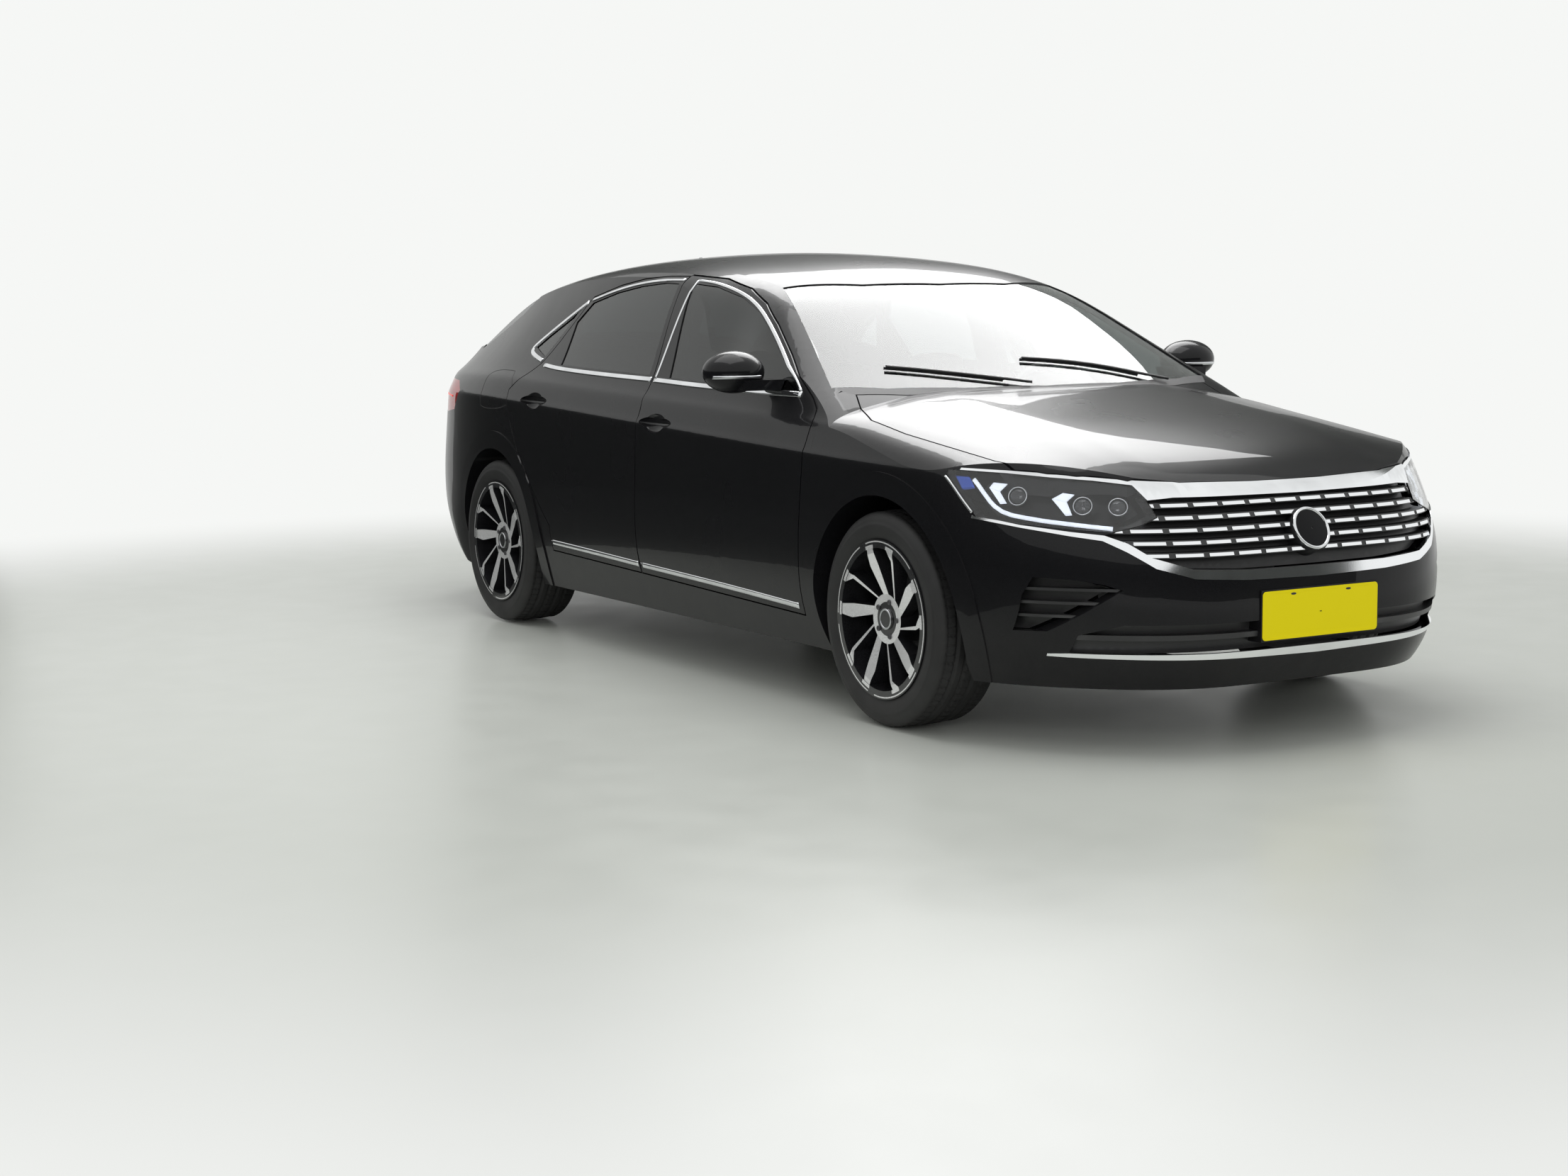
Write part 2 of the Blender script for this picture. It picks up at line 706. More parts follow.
def shell_of(outer: Array, looks: Array, sink: float) -> Mesh:
    """Closes a grid of points into a thin shell: its back lies sink below along the looks.

    Args:
        outer: rows by columns by 3 points.
        looks: outward directions, of the same shape.
        sink: depth of the back.

    Returns:
        Points and quads, with the rim closed.
    """
    rows, columns = outer.shape[:2]
    count = rows * columns
    inner = outer - looks * sink
    quads = grid_faces(rows, columns, False, False)
    index = np.arange(count).reshape(rows, columns)
    loop = np.concatenate([index[0, :], index[1:, -1], index[-1, -2::-1], index[-2:0:-1, 0]])
    after = np.roll(loop, -1)
    rim = np.stack([loop, loop + count, after + count, after], axis=-1)
    facing = np.cross(outer[0, 1] - outer[0, 0], outer[1, 0] - outer[0, 0]) @ looks[0, 0]
    quads = np.concatenate([quads, quads[:, ::-1] + count, rim])
    return inside_out((np.concatenate([outer.reshape(-1, 3), inner.reshape(-1, 3)]), quads), facing < 0)


def read(items: bpy.types.bpy_prop_collection, key: str, width: int, kind: type = float) -> Array:
    """Reads one value of all items of a mesh as rows of an array."""
    values = np.zeros(len(items) * width, kind)
    items.foreach_get(key, values)
    return values.reshape(-1, width)


def extent(node: str) -> tuple[Array, Array, Array]:
    """Low corner, high corner and middle of a CAD node's box."""
    low, high = (np.array(corner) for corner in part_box(node))
    return low, high, (low + high) / 2


class Skin:
    """The surface of some CAD nodes, for setting pieces on it."""

    def __init__(self, *names: str) -> None:
        """Gathers the nodes' triangles."""
        parts = []
        for name in names:
            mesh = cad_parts[name].data
            mesh.calc_loop_triangles()
            parts.append((read(mesh.vertices, "co", 3), read(mesh.loop_triangles, "vertices", 3, np.int64)))
        points, faces = join(parts)
        self.tree = BVHTree.FromPolygons(points.tolist(), faces.tolist())

    def drop(self, starts: Array, way: Sequence[float]) -> Laid:
        """Sends each start along a direction to the surface.

        Args:
            starts: n points outside the car.
            way: the direction.

        Returns:
            The points that were hit and the surface's directions there; a miss takes its neighbour's.
        """
        found = [self.tree.ray_cast(Vector(start), Vector(way)) for start in starts]
        hits = [(tuple(spot), tuple(look)) for spot, look, *_ in found if spot is not None]
        if not hits:
            raise ValueError("no point of the line meets the surface")
        last, rows = hits[0], []
        for spot, look, *_ in found:
            last = (tuple(spot), tuple(look)) if spot is not None else last
            rows.append(last)
        places, looks = np.array(rows).transpose(1, 0, 2)
        return places, looks * np.where(looks @ np.array(way) > 0, -1, 1)[:, None]

    def side_path(self, shares: Shares, count: int = 60, closed: bool = False) -> Laid:
        """A side view line laid on the right flank."""
        line = resample(rounded(CAR.side_line(shares), closed), count, closed)
        starts = np.stack([line[:, 0], np.full(len(line), -PAST_SIDE), line[:, 1]], axis=-1)
        return self.drop(starts, LEFTWARD)


def patch(skin: Skin, line_low: Array, line_high: Array, way: Sequence[float], rise: float, sink: float,
          rows: int, columns: int, crown: float = 0.0) -> Mesh:
    """Thin shell laid on the skin between two lines of starts, seen along a direction.

    Rise above the skin = rise + crown * (1 - across ** 2), where across runs from -1 to 1 between the lines.

    Args:
        skin: the surface below.
        line_low: points of one edge, outside the skin.
        line_high: points of the other edge.
        way: direction from the points to the skin.
        rise: height above the skin.
        sink: thickness below that.
        rows: points across.
        columns: points along.
        crown: more height in the middle.

    Returns:
        Points and quads.
    """
    own_look = 0.35
    low, high = resample(line_low, columns), resample(line_high, columns)
    share = np.linspace(0, 1, rows)[:, None, None]
    places, looks = skin.drop((low[None] * (1 - share) + high[None] * share).reshape(-1, 3), way)
    looks = looks.reshape(rows, columns, 3)
    looks = np.mean(looks, axis=0, keepdims=True) + own_look * looks
    looks /= np.linalg.norm(looks, axis=-1)[..., None]
    height = rise + crown * (1 - (share * 2 - 1) ** 2)
    return shell_of(places.reshape(rows, columns, 3) + looks * height, looks, sink)


# Pieces


def new_object(name: str, data: bpy.types.ID) -> bpy.types.Object:
    """Makes an object and links it to the scene."""
    obj = bpy.data.objects.new(name, data)
    bpy.context.scene.collection.objects.link(obj)
    return obj


def mesh_object(name: str, mesh: Mesh, finish: Optional[str] = None) -> bpy.types.Object:
    """Makes an object from points and quads, with its finish where one is named."""
    data = bpy.data.meshes.new(name)
    data.from_pydata(mesh[0].reshape(-1, 3).tolist(), [], mesh[1].tolist())
    if finish:
        data.materials.append(MATERIALS[finish])
    return new_object(name, data)


def make_piece(name: str, mesh: Mesh, finish: str, body: str, flat: bool = False) -> bpy.types.Object:
    """Makes a piece of the car and lets it ride.

    Args:
        name: the piece's name.
        mesh: places in the row frame, and four indices per face.
        finish: key of its finish.
        body: the body that it rides on.
        flat: keeps the faces flat shaded.

    Returns:
        The object.
    """
    obj = mesh_object(name, mesh, finish)
    obj.data.validate()
    obj.data.shade_flat() if flat else obj.data.shade_smooth()
    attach(obj, body)
    log.info("%s: %d faces on %s", name, len(mesh[1]), body)
    return obj


def both_sides(name: str, mesh: Mesh, finish: str, body: str) -> None:
    """Makes a right hand piece and its left hand copy; {side} in body becomes the side's word."""
    for side in Side:
        placed = mesh if side is Side.RIGHT else inside_out((mesh[0] * np.array([1, -1, 1]), mesh[1]))
        make_piece(f"{name}_{side.word}", placed, finish, body.format(side=side.word))


DRESSED = {
    "paint": "bonnet boot_lid roof_panel front_bumper rear_bumper door_{end}_{side} fender_{side} body_side_{side} "
             "mirror_{side}",
    "clear_glass": "windscreen",
    "dark_glass": "rear_window quarter_glass glass_{end}_{side}",
    "lamp_cover": "headlamps",
    "housing": "lamp_units",
    "satin_black": "grille lower_grille",
    "red_lamp": "tail_lamps",
    "chrome": "front_trim",
    "plastic": "cowl",
    "carpet": "floor_pan rear_floor",
    "dash": "dashboard steering_wheel",
    "steel": "front_subframe rear_axle exhaust engine_block fuel_tank knuckle_{side}",
    "plate": "front_plate",
    "seat": "front_seats rear_seat",
    "rim": "rim_{end}_{side}",
    "rubber": "tyre_{end}_{side}",
}


def dress_frame() -> None:
    """Gives each CAD node its finish; {side} and {end} stand for both sides and both ends."""
    for finish, patterns in DRESSED.items():
        names = dict.fromkeys(pattern.format(end=end, side=side.word) for pattern in patterns.split()
                              for end in ("front", "rear") for side in Side)
        for name in names:
            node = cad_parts.get(name)
            if node is None:
                log.info("%s isn't in the model", name)
                continue
            if not node.material_slots:
                node.data.materials.append(None)
            for place in node.material_slots:
                place.material = MATERIALS[finish]


# The car's outer parts


@dataclass(frozen=True)
class Tyre:
    """Tyre with a ribbed sidewall and a tread of blocks between four grooves."""

    place: str
    side: Side
    radius: float = 0.3295
    bead: float = 0.2295
    half: float = 0.1172
    tread: float = 0.74
    crown: float = 0.006
    groove: float = 0.006
    groove_half: float = 0.035
    grooves = (-0.46, -0.16, 0.16, 0.46)
    sipes: int = 72
    ribs: int = 120
    rib_ring: float = 0.030
    rib_depth: float = 0.0006
    steps: int = 480
    wall = [(0.0, 0.80), (0.08, 0.88), (0.16, 0.945), (0.22, 0.955), (0.25, 0.965), (0.40, 0.99), (0.55, 1.0),
            (0.60, 0.998), (0.62, 0.988), (0.70, 0.975), (0.80, 0.95), (0.88, 0.905), (0.93, 0.86), (0.965, 0.79)]

    def build(self) -> None:
        """Makes the tyre: sidewalls from bead to crown, tread radius less grooves and sipes."""
        *_, centre = extent(f"tyre_{self.place}_{self.side.word}")
        wall = np.array([(self.bead + share * (self.radius - self.bead), across * self.half)
                         for share, across in self.wall])
        tread = np.linspace(self.tread, -self.tread, 41) * self.half
        tread_radius = self.radius - self.crown * np.abs(tread / self.half / self.tread) ** 3.0
        radius = np.concatenate([wall[:, 0], tread_radius, wall[::-1, 0]])
        across = np.concatenate([wall[:, 1], tread, -wall[::-1, 1]])
        turn = angles(self.steps)[:, None]
        share = across[None, :] / self.half
        index = np.arange(len(radius))
        on_tread = ((index >= len(wall)) & (index < len(wall) + len(tread)))[None, :]
        grooves = np.zeros_like(share)
        for middle in self.grooves:
            grooves = np.maximum(grooves, np.abs(share - middle) < self.groove_half)
        sipes = np.sin(turn * self.sipes + 2.5 * share) > 0.80
        sipes = 0.7 * sipes * ((np.abs(share) > 0.50) | (np.abs(share) < 0.12))
        on_ring = np.abs(radius - (self.bead + self.rib_ring))[None, :] < 0.004
        ribs = on_ring * (np.sin(turn * self.ribs) > 0) * ~on_tread
        shift = -self.groove * on_tread * np.maximum(grooves, sipes) - self.rib_depth * ribs
        mesh = revolve(radius, across, centre, self.steps, shift)
        name = f"tread_{self.place}_{self.side.word}"
        piece = make_piece(name, mesh, "rubber", f"{self.place}_wheel_{self.side.word}")
        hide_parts(f"tyre_{self.place}_{self.side.word}")


@dataclass(frozen=True)
class WheelDetail:
    """Centre cap ring and bolts on each rim."""

    place: str
    side: Side
    bolts: int = 5
    bolt_ring: float = 0.0545
    first: float = 73.0
    bolt = np.array([(0.0004, 0.0020), (0.0060, 0.0020), (0.0078, 0.0045), (0.0086, 0.0020), (0.0086, -0.0030)])
    ring = np.array([(0.0262, -0.001), (0.0262, 0.0016), (0.0275, 0.0024), (0.0305, 0.0024), (0.0318, 0.0014),
                     (0.0318, -0.001)])

    def build(self) -> None:
        """Seats each small piece on the rim by a ray from outside."""
        end, sign = f"{self.place}_{self.side.word}", self.side.value
        body = f"{self.place}_wheel_{self.side.word}"
        skin, (*_, middle) = Skin("rim_" + end), extent("rim_" + end)
        turn = math.radians(self.first) + angles(self.bolts)
        spots = np.stack([middle[0] + self.bolt_ring * np.cos(turn), np.full(self.bolts, sign * PAST_WHEEL),
                          middle[2] + self.bolt_ring * np.sin(turn)], axis=-1)
        places, _ = skin.drop(spots, (0, -sign, 0))
        bolts = [revolve(self.bolt[:, 0], sign * self.bolt[:, 1], spot, 18, closed=False) for spot in places]
        make_piece("wheel_bolts_" + end, inside_out(join(bolts), sign < 0), "steel", body)
        hub = skin.drop(np.array([(middle[0], sign * PAST_WHEEL, middle[2])]), (0, -sign, 0))[0][0]
        ring = revolve(self.ring[:, 0], sign * self.ring[:, 1], np.array([middle[0], hub[1], middle[2]]), 64)
        make_piece("cap_ring_" + end, inside_out(ring, sign > 0), "satin_metal", body)


@dataclass(frozen=True)
class FlankStrip:
    """Bright strip along a side view line on the right flank, and its left copy."""

    name: str
    node: str
    body: str
    width: float
    line: Shares
    rise: float = 0.004

    def build(self) -> None:
        """Lays the strip on its node."""
        path, up = Skin(f"{self.node}_right").side_path(self.line)
        both_sides(self.name, sweep(path, up, strip_profile(self.width, self.rise)), "chrome", self.body)


UPPER, BELT, SLIM = 0.013, 0.020, 0.007
FRONT_DOOR, REAR_DOOR = ("door_front", "front_door_{side}"), ("door_rear", "rear_door_{side}")
FLANK_STRIPS = (
    FlankStrip("front_window_arch", *FRONT_DOOR, UPPER, [
        (0.447, 0.9275), (0.502, 0.918), (0.571, 0.892), (0.626, 0.857), (0.676, 0.812), (0.739, 0.746),
        (0.775, 0.707), (0.797, 0.678)]),
    FlankStrip("front_belt_strip", *FRONT_DOOR, BELT, [
        (0.800, 0.6725), (0.70, 0.674), (0.554, 0.680), (0.483, 0.685), (0.4485, 0.687)]),
    FlankStrip("rear_window_arch", *REAR_DOOR, UPPER, [
        (0.4175, 0.9285), (0.369, 0.930), (0.305, 0.924), (0.241, 0.909), (0.172, 0.882)]),
    FlankStrip("rear_belt_strip", *REAR_DOOR, BELT, [
        (0.4385, 0.688), (0.30, 0.694), (0.163, 0.703), (0.112, 0.711)]),
    FlankStrip("quarter_strip", "body_side", "car_body", BELT, [
        (0.160, 0.876), (0.127, 0.846), (0.073, 0.795), (0.040, 0.759), (0.038, 0.748), (0.052, 0.737),
        (0.094, 0.722)]),
    FlankStrip("front_pillar_strip", *FRONT_DOOR, SLIM, [(0.4475, 0.926), (0.4480, 0.81), (0.4485, 0.692)]),
    FlankStrip("front_sill_strip", *FRONT_DOOR, BELT, [
        (0.4485, 0.2385), (0.60, 0.2315), (0.70, 0.226), (0.829, 0.2165)]),
    FlankStrip("rear_sill_strip", *REAR_DOOR, BELT, [(0.188, 0.2520), (0.30, 0.2470), (0.4405, 0.2390)]),
)


@dataclass(frozen=True)
class Headlamp:
    """What shows inside each headlamp: light guide, two bright chevrons, lens eyes and a blue reflector."""

    guide = [(0.9200, 0.5291), (0.9157, 0.5186), (0.9106, 0.5054), (0.9045, 0.4909), (0.8974, 0.4791),
             (0.8871, 0.4702), (0.8708, 0.4633), (0.8477, 0.4594), (0.8100, 0.4542), (0.7644, 0.4499),
             (0.7072, 0.4450), (0.6593, 0.4416)]
    chevrons = [
        ((0.8966, 0.5139), (0.8852, 0.5243), (0.8597, 0.5222), (0.8793, 0.5072), (0.8729, 0.4853), (0.8851, 0.4836)),
        ((0.7767, 0.4957), (0.7470, 0.5075), (0.7227, 0.5045), (0.7460, 0.4912), (0.7441, 0.4664), (0.7587, 0.4650)),
    ]
    eyes = [(0.8480, 0.5010), (0.7120, 0.4862), (0.6255, 0.4849)]
    reflector = [(0.9483, 0.5360), (0.9255, 0.5350), (0.9221, 0.5116), (0.9440, 0.5051)]
    edge = [(1.3335, 0.5324), (1.365, 0.5150), (1.396, 0.4941), (1.4434, 0.4640)]
    ring = np.array([(0.024, 0.0), (0.0245, 0.004), (0.026, 0.005), (0.0275, 0.004), (0.028, 0.0), (0.026, -0.002)])
    depth: float = 0.013
    eye_depth: float = 0.026

    def inside(self, skin: Skin, shares: Shares, sink: float, count: int) -> Laid:
        """A front view line laid a depth below the lens."""
        path, look = skin.drop(resample(CAR.end_line(PAST_END, -1, shares), count), REARWARD)
        return path - look * sink, look

    def tile(self, skin: Skin, corners: Shares) -> Mesh:
        """A thin four cornered shell below the lens."""
        starts = CAR.end_line(PAST_END, -1, corners)
        return patch(skin, starts[[0, 1]], starts[[3, 2]], REARWARD, -self.depth, 0.004, 5, 8)

    def build(self) -> None:
        """Makes the right lamp's pieces and their left copies."""
        skin = Skin("headlamps")
        path, look = self.inside(skin, self.guide, self.depth + 0.003, 60)
        both_sides("light_guide", sweep(path, look, strip_profile(0.012, 0.004)), "guide", "car_body")
        tiles = []
        for tip, top, end, crook, low, foot in self.chevrons:
            tiles += [self.tile(skin, (tip, top, end, crook)), self.tile(skin, (tip, crook, low, foot))]
        both_sides("chevrons", join(tiles), "guide", "car_body")
        slope = np.linspace(0.02, 1.35, 12)
        dome = np.stack([0.024 * np.sin(slope), 0.013 * np.cos(slope) - 0.004], axis=-1)
        dome = np.concatenate([dome, np.array([(0.0232, -0.006), (0.0004, -0.006)])])
        rings, domes = [], []
        for eye in self.eyes:
            (spot,), (way,) = self.inside(skin, [eye, eye], self.eye_depth, 1)
            rings.append(turned_about(spot, way, self.ring, 48))
            domes.append(turned_about(spot, way, dome, 40))
        both_sides("lamp_eye_rings", join(rings), "satin_metal", "car_body")
        both_sides("lamp_eyes", join(domes), "eye", "car_body")
        both_sides("lamp_reflector", self.tile(skin, self.reflector), "blue_film", "car_body")
        path, look = Skin("fender_right", "front_bumper", "headlamps").side_path(self.edge, 24)
        both_sides("lamp_edge", sweep(path, look, strip_profile(0.008, 0.002)), "chrome", "car_body")


@dataclass(frozen=True)
class FuelFlap:
    """Dark gap line round the fuel flap on the right rear quarter."""

    outline = [(-0.1019, 0.6937), (0.0249, 0.6943), (0.0322, 0.6889), (0.0733, 0.6133), (0.0204, 0.5888),
               (-0.1177, 0.5895), (-0.1213, 0.6065), (-0.1433, 0.6753)]
    width: float = 0.0035

    def build(self) -> None:
        """Lays the closed line on the quarter."""
        path, up = Skin("body_side_right").side_path(self.outline, 160, True)
        mesh = sweep(path, up, strip_profile(self.width, 0.0006, 0.001), True)
        make_piece("fuel_flap_gap", mesh, "rubber", "car_body")


@dataclass(frozen=True)
class RearDress:
    """Bright strips, lower valance, reflectors and lamp inlays at the back of the car."""

    lid_strip = [(-0.700, 0.604), (-0.35, 0.607), (0.0, 0.608), (0.35, 0.607), (0.700, 0.604)]
    inlay = ([(0.430, 0.618), (0.700, 0.612)], [(0.430, 0.636), (0.700, 0.648)])
    valance = ([(-0.60, 0.150), (0.0, 0.146), (0.60, 0.150)], [(-0.66, 0.236), (0.0, 0.230), (0.66, 0.236)])
    valance_strip = [(-0.70, 0.246), (-0.64, 0.241), (0.0, 0.235), (0.64, 0.241), (0.70, 0.246)]
    reflector = ([(0.60, 0.272), (0.72, 0.274)], [(0.60, 0.290), (0.72, 0.292)])
    guide = [(-0.480, 0.612), (-0.62, 0.617), (-0.80, 0.618), (-0.93, 0.612)]
    width: float = 0.011
    sink: float = 0.004

    def strip(self, name: str, skin: Skin, shares: Shares, body: str) -> None:
        """Lays a bright strip on the back of the car."""
        path, look = skin.drop(resample(CAR.end_line(-PAST_END, 1, shares), 60), FORWARD)
        make_piece(name, sweep(path, look, strip_profile(self.width, 0.0025)), "chrome", body)

    def field(self, skin: Skin, edges: Sequence[Shares], side: int, rise: float, rows: int, columns: int) -> Mesh:
        """Thin shell on the back of the car between two edges."""
        low, high = (CAR.end_line(-PAST_END, side, edge) for edge in edges)
        return patch(skin, low, high, FORWARD, rise, self.sink, rows, columns)

    def build(self) -> None:
        """Makes the pieces of the lid, the bumper and the lamps."""
        lid, bumper = Skin("boot_lid"), Skin("rear_bumper")
        self.strip("lid_strip", lid, self.lid_strip, "boot")
        self.strip("valance_strip", bumper, self.valance_strip, "car_body")
        valance = self.field(bumper, self.valance, 1, 0.0015, 6, 60)
        make_piece("rear_valance", valance, "plastic", "car_body")
        inlays = [self.field(lid, self.inlay, side, 0.0018, 5, 24) for side in (-1, 1)]
        make_piece("lid_lamps", join(inlays), "red_lamp", "boot")
        reflectors = [self.field(bumper, self.reflector, side, 0.002, 4, 20) for side in (-1, 1)]
        make_piece("rear_reflectors", join(reflectors), "red_lamp", "car_body")
        path, up = Skin("tail_lamps").side_path(self.guide, 40)
        both_sides("tail_guide", sweep(path, up, strip_profile(0.008, 0.0012)), "tail_guide", "car_body")


@dataclass(frozen=True)
class Roundel:
    """Bare gloss black dome inside the ring on the grille."""

    rise: float = 0.4241
    radius: float = 0.0585
    probe: float = 0.03

    def build(self) -> None:
        """Dome: height = 3 mm * (1 - share ** 2), over the disc's own face."""
        moves = ((0, -self.probe), (0, self.probe), (-self.probe, 0), (self.probe, 0))
        spots = np.array([(PAST_END, dy, self.rise * CAR.height + dz) for dy, dz in moves])
        found, _ = Skin("front_trim", "grille").drop(spots, REARWARD)
        way = np.cross(found[3] - found[2], found[1] - found[0])
        share = np.linspace(0.01, 1.0, 14)
        dome = np.stack([self.radius * share, 0.0008 + 0.003 * (1 - share ** 2)], axis=-1)
        dome = np.concatenate([dome, np.array([(self.radius, -0.001), (0.0005, -0.001)])])
        mesh = turned_about(found.mean(axis=0), way, dome, 72)
        make_piece("roundel", mesh, "roundel", "car_body")


@dataclass(frozen=True)
class Plate:
    """Blank number plate with round corners, a raised rim and two slots."""

    node: str = "front_plate"
    corner: float = 0.012
    rim: float = 0.006
    inset: float = 0.0007
    slot_place: float = 0.105
    slot_drop: float = 0.012
    slot = np.array([0.010, 0.0035])

    def outline(self, half: Array) -> Array:
        """Rectangle with round corners: a small circle carried to the inner corner of each quarter."""
        wave = circle(128)
        return np.sign(wave) * (half - self.corner) * (np.abs(wave) > 0.02) + wave * self.corner

    def build(self) -> None:
        """Makes the plate as rings from its middle to its rim and round its back, and its slots."""
        low, high, middle = extent(self.node)
        half = (high - low) / 2
        edge = self.outline(half[1:])
        front, back, rim = high[0], low[0], self.rim / half[2]
        steps = [(0.02, front - self.inset), (0.5, front - self.inset), (1 - rim * 1.6, front - self.inset),
                 (1 - rim, front), (0.995, front), (1.0, front - 0.0006), (1.0, back), (0.5, back), (0.02, back)]
        rings = [np.concatenate([np.full((len(edge), 1), x), edge * share + middle[1:]], axis=1)
                 for share, x in steps]
        mesh = inside_out((np.stack(rings), grid_faces(len(rings), len(edge), True, True)))
        piece = make_piece("plate_blank", mesh, "plate", "car_body", True)
        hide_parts(self.node)
        ring = np.column_stack([np.zeros(24), circle(24) * self.slot])
        dips = ((0.05, 0.0), (0.9, 0.0), (1.0, -0.0002), (1.0, -0.0012))
        for index, across in enumerate((-self.slot_place, self.slot_place)):
            spot = np.array([front - 0.0004, across, high[2] - self.slot_drop])
            rows = np.stack([spot + ring * share + np.array([dip, 0, 0]) for share, dip in dips])
            mesh = inside_out((rows, grid_faces(len(dips), len(ring), False, True)))
            make_piece(f"plate_slot_{index}", mesh, "satin_black", "car_body")


@dataclass(frozen=True)
class Wipers:
    """Two wiper arms with blades parked at the foot of the windscreen."""

    rise: float = 0.012
    smoothing: int = 9
    lines = {
        "wiper_driver": [(0.860, 0.60), (0.830, 0.30), (0.818, -0.02)],
        "wiper_passenger": [(0.868, -0.05), (0.842, -0.32), (0.812, -0.60)],
    }

    def build(self) -> None:
        """Lays arm and blade lines over the glass and bonnet gap, seen from above."""
        skin = Skin("windscreen", "cowl", "bonnet")
        for name, shares in self.lines.items():
            line = np.array([(CAR.station(along), across * CAR.half_width, OVER_GLASS) for along, across in shares])
            path, look = skin.drop(resample(rounded(line), 40), DOWNWARD)
            look = np.mean(look, axis=0)[None] + 0 * look
            look /= np.linalg.norm(look, axis=1)[:, None]
            padded = np.pad(path + look * self.rise, ((self.smoothing // 2,) * 2, (0, 0)), "edge")
            kernel = np.ones(self.smoothing) / self.smoothing
            smooth = np.stack([np.convolve(row, kernel, "valid") for row in padded.T], axis=-1)
            arm = sweep(smooth, look, strip_profile(0.010, 0.004, 0.003))
            foot = smooth - look * (self.rise - 0.004) + np.array([-0.010, 0, 0])
            blade = sweep(foot[8:], look[8:], strip_profile(0.007, 0.006, 0.003))
            make_piece(name, join([arm, blade]), "satin_black", "car_body")


def end_cap(columns: int) -> Array:
    """Quads that close a ring of points across, in bands."""
    low = np.arange(columns // 2 - 1)
    return np.stack([low, low + 1, columns - 2 - low, columns - 1 - low], axis=-1)


@dataclass(frozen=True)
class RoofFin:
    """Aerial fin at the back of the roof."""

    place: float = 0.035
    length: float = 0.130
    height: float = 0.028
    half: float = 0.028
    rows: int = 24
    columns: int = 40

    def build(self) -> None:
        """Fin: half width = half * (1 - up) ** 0.75, its front swept back as up ** 0.62."""
        x = CAR.station(self.place)
        up = np.linspace(0, 0.985, self.rows)[:, None]
        turn = angles(self.columns)[None, :]
        front, back = self.length * (1 - up ** 0.62 * 0.86), -0.006 * up
        along = back + (front - back) * (0.5 + 0.5 * np.cos(turn))
        across = self.half * (1 - up) ** 0.75 * np.sin(turn) * (0.55 + 0.45 * np.cos(turn + 0.6) ** 2)
        starts = np.stack([x + along[0], across[0], np.full(self.columns, OVER_ROOF)], axis=-1)
        base = Skin("roof_panel").drop(starts, DOWNWARD)[0][:, 2]
        z = (base[None, :] - 0.002) * (1 - up) + (base.max() + self.height) * up
        quads = np.concatenate([grid_faces(self.rows, self.columns, False, True),
                                end_cap(self.columns) + (self.rows - 1) * self.columns])
        mesh = (np.stack([x + along, across, z], axis=-1), quads)
        make_piece("roof_fin", mesh, "paint", "car_body")


@dataclass(frozen=True)
class MirrorDetail:
    """Satin marker strip across the front of each door mirror."""

    level: float = 0.40
    inset: tuple[float, float] = (0.012, 0.175)
    edges: tuple[float, float] = (-0.006, 0.004)

    def build(self) -> None:
        """Lays a patch on the right mirror from ahead and copies it to the left."""
        low, high, _ = extent("mirror_right")
        level = low[2] + (high[2] - low[2]) * self.level
        across = np.linspace(low[1] + self.inset[0], low[1] + self.inset[1], 9)
        edges = [np.array([(high[0] + 0.1, y, level + rise) for y in across]) for rise in self.edges]
        mesh = patch(Skin("mirror_right"), *edges, REARWARD, 0.0012, 0.004, 4, 60, 0.001)
        both_sides("mirror_marker", mesh, "satin_metal", "front_door_{side}")


# Cabin


def pillow(rows: int, columns: int, half: Array, edge: float) -> Mesh:
    """Rounded box as a stretched ball with squared waves: each of x, y, z = half * sign(w) * |w| ** edge.

    Args:
        rows: rings from pole to pole along Y.
        columns: points round a ring.
        half: half sizes along x, y and z.
        edge: 1 is a ball, nearer 0 is a box.

    Returns:
        Points and quads, closed at both poles by small rings of quads.
    """
    down, turn = np.linspace(0.03, math.pi - 0.03, rows)[:, None], angles(columns)[None, :]
    waves = (np.sin(down) * np.cos(turn), np.cos(down) + 0 * turn, np.sin(down) * np.sin(turn))
    points = np.stack([reach * np.sign(wave) * np.abs(wave) ** edge for reach, wave in zip(half, waves)], axis=-1)
    cap = end_cap(columns)
    quads = [grid_faces(rows, columns, False, True), cap[:, ::-1], cap + (rows - 1) * columns]
    return points.reshape(-1, 3), np.concatenate(quads)


def settled(obj: bpy.types.Object) -> bpy.types.Mesh:
    """A new mesh from an object with its modifiers worked out."""
    return bpy.data.meshes.new_from_object(obj.evaluated_get(bpy.context.evaluated_depsgraph_get()))


